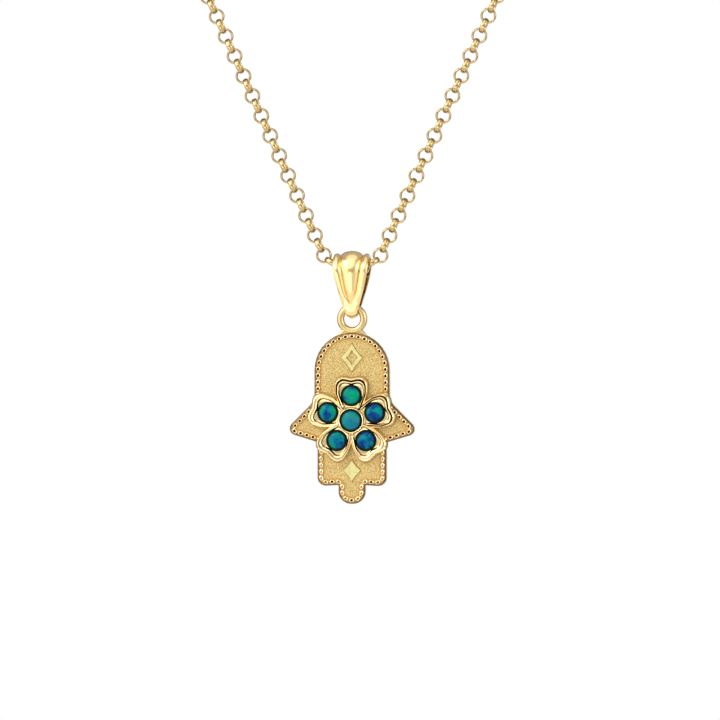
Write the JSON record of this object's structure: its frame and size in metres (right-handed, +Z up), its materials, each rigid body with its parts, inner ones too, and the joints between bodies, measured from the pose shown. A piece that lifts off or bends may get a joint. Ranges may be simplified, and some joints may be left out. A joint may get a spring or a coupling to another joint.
{
  "type": "hamsa pendant on a chain",
  "caption": "Gold hand-shaped pendant with a beaded border and an opal flower, on a fluted bail and a closed belcher chain.",
  "frame": {"origin": "middle of the clasp, where the chain rests on the nape", "axes": "+Z up, -Y to the front, where the pendant hangs and faces; X across"},
  "size_m": [0.1158, 0.0912, 0.1607],
  "materials": {
    "gold": "polished yellow gold, with a sandblasted field",
    "petal_opal": "polished opal, blue and green",
    "middle_opal": "polished opal, pale blue"
  },
  "bodies": {
    "chain": {"chain_front": "gold", "chain_left": "gold", "chain_right": "gold", "clasp": "gold"},
    "bail": {"bail": "gold"},
    "pendant": {"hamsa": "gold", "petal_stone_1": "petal_opal", "petal_stone_2": "petal_opal", "petal_stone_3": "petal_opal", "petal_stone_4": "petal_opal", "petal_stone_5": "petal_opal", "middle_stone": "middle_opal"}
  },
  "joints": [
    {"name": "bail_swing", "type": "hinge", "parent": "chain", "child": "bail", "pos_m": [0, -0.088, -0.128], "axis": [1, 0, 0], "range_deg": [-75, 75]},
    {"name": "pendant_swing", "type": "hinge", "parent": "bail", "child": "pendant", "pos_m": [0, -0.088, -0.1329], "axis": [1, 0, 0], "range_deg": [-45, 45]}
  ]
}
